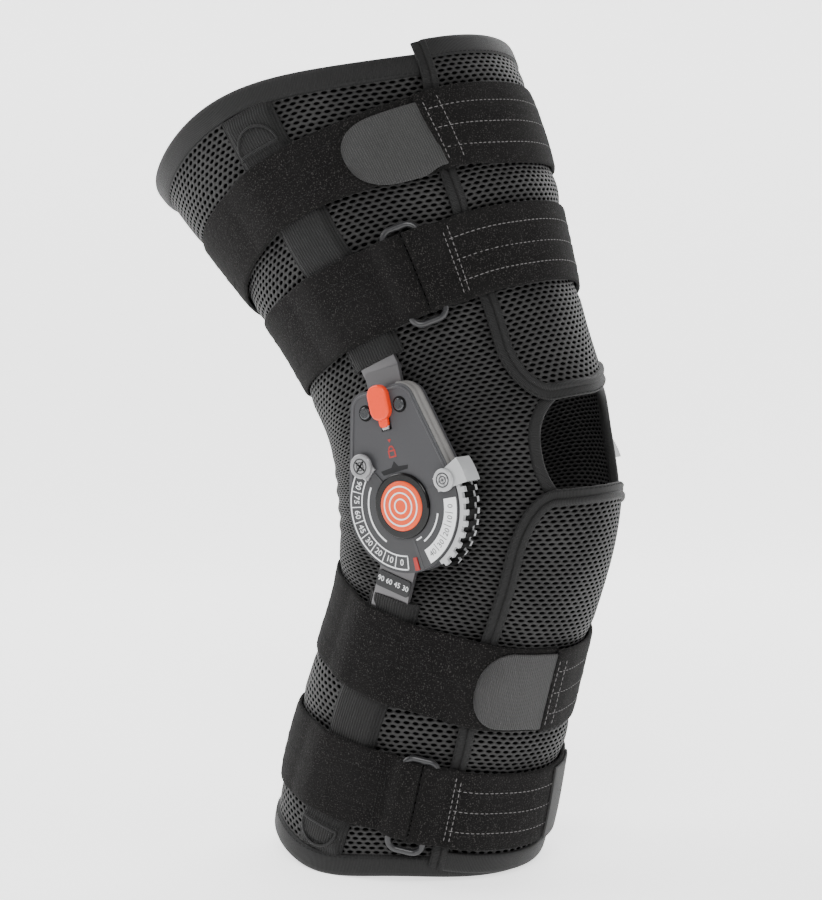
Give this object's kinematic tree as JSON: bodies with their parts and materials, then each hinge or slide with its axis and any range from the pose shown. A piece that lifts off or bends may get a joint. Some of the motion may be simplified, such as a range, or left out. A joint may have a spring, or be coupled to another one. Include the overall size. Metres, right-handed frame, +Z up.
{
  "type": "knee brace",
  "caption": "Wraparound knee brace: a mesh sleeve with front flaps and an open kneecap, hook-and-loop straps, and side hinges with adjustable stops and a lock slide.",
  "frame": {"origin": "on the flexion axis, midway between the two hinge pivots, in the middle of the leg", "axes": "+X medial (towards the other leg) along the flexion axis, -Y front of the knee, +Z up"},
  "size_m": [0.1738, 0.2567, 0.4069],
  "materials": {
    "airmesh": "black spacer mesh with staggered oval holes over dark backing",
    "stretch_back": "black stretch mesh behind the knee",
    "binding_tape": "folded black binding tape with a stitch line",
    "strap_loop": "black brushed loop webbing with grey stitch rows",
    "hook_tape": "grey ribbed hook tape",
    "pocket_webbing": "black ribbed webbing",
    "upright_metal": "dark anodised, satin",
    "ring_wire": "glossy dark coating",
    "cover_plastic": "satin dark grey moulding",
    "dial_face": "printed dial, satin",
    "black_plastic": "black moulding",
    "clear_plastic": "clear to frosted moulding",
    "orange_plastic": "glossy orange moulding",
    "steel": "zinc-plated steel"
  },
  "bodies": {
    "thigh": {"thigh_sleeve": "airmesh", "knee_sleeve": "stretch_back", "thigh_rim_binding": "binding_tape", "thigh_flap": "airmesh", "thigh_flap_binding": "binding_tape", "upper_thigh_strap_front": "strap_loop", "upper_thigh_strap_back": "strap_loop", "lower_thigh_strap_front": "strap_loop", "lower_thigh_strap_back": "strap_loop", "upper_thigh_hook_tab": "hook_tape", "lower_thigh_ring": "ring_wire", "lateral_thigh_upright": "upright_metal", "lateral_thigh_pocket": "pocket_webbing", "lateral_hinge_cover": "cover_plastic", "lateral_hinge_pin": "steel", "lateral_back_plate": "upright_metal", "lateral_dial_plate": "dial_face", "lateral_cap_bezel": "black_plastic", "lateral_pivot_cap": "orange_plastic", "lateral_rivets": "steel", "lateral_stop_rack": "black_plastic", "lateral_rack_rails": "clear_plastic", "medial_thigh_upright": "upright_metal", "medial_thigh_pocket": "pocket_webbing", "medial_hinge_cover": "cover_plastic", "medial_hinge_pin": "steel", "medial_back_plate": "upright_metal", "medial_dial_plate": "dial_face", "medial_cap_bezel": "black_plastic", "medial_pivot_cap": "orange_plastic", "medial_rivets": "steel", "medial_stop_rack": "black_plastic", "medial_rack_rails": "clear_plastic"},
    "calf": {"calf_sleeve": "airmesh", "calf_rim_binding": "binding_tape", "calf_flap": "airmesh", "calf_flap_binding": "binding_tape", "upper_calf_strap_front": "strap_loop", "upper_calf_strap_back": "strap_loop", "lower_calf_strap_front": "strap_loop", "lower_calf_strap_back": "strap_loop", "upper_calf_hook_tab": "hook_tape", "lower_calf_hook_tab": "hook_tape", "lower_calf_ring": "ring_wire", "lateral_calf_upright": "upright_metal", "lateral_calf_pocket": "pocket_webbing", "lateral_scale_plate": "dial_face", "medial_calf_upright": "upright_metal", "medial_calf_pocket": "pocket_webbing", "medial_scale_plate": "dial_face"},
    "lateral_lock": {"lateral_lock_slide": "orange_plastic"},
    "lateral_flexion_limiter": {"lateral_flexion_stop": "clear_plastic"},
    "lateral_extension_limiter": {"lateral_extension_stop": "clear_plastic"},
    "medial_lock": {"medial_lock_slide": "orange_plastic"},
    "medial_flexion_limiter": {"medial_flexion_stop": "clear_plastic"},
    "medial_extension_limiter": {"medial_extension_stop": "clear_plastic"}
  },
  "joints": [
    {"name": "knee_flex", "type": "hinge", "parent": "thigh", "child": "calf", "pos_m": [0, 0, 0], "axis": [1, 0, 0], "range_deg": [-31, 69], "deforming": ["knee_sleeve", "lower_thigh_strap_back", "upper_calf_strap_back"]},
    {"name": "lateral_lock_travel", "type": "slide", "parent": "thigh", "child": "lateral_lock", "axis": [0, 0.2588, 0.9659], "range_m": [-0.007, 0]},
    {"name": "lateral_flexion_setting", "type": "hinge", "parent": "thigh", "child": "lateral_flexion_limiter", "pos_m": [0, 0, 0], "axis": [1, 0, 0], "range_deg": [-100, 0]},
    {"name": "lateral_extension_setting", "type": "hinge", "parent": "thigh", "child": "lateral_extension_limiter", "pos_m": [0, 0, 0], "axis": [1, 0, 0], "range_deg": [0, 70]},
    {"name": "medial_lock_travel", "type": "slide", "parent": "thigh", "child": "medial_lock", "axis": [0, 0.2588, 0.9659], "range_m": [-0.007, 0]},
    {"name": "medial_flexion_setting", "type": "hinge", "parent": "thigh", "child": "medial_flexion_limiter", "pos_m": [0, 0, 0], "axis": [1, 0, 0], "range_deg": [-100, 0]},
    {"name": "medial_extension_setting", "type": "hinge", "parent": "thigh", "child": "medial_extension_limiter", "pos_m": [0, 0, 0], "axis": [1, 0, 0], "range_deg": [0, 70]}
  ]
}
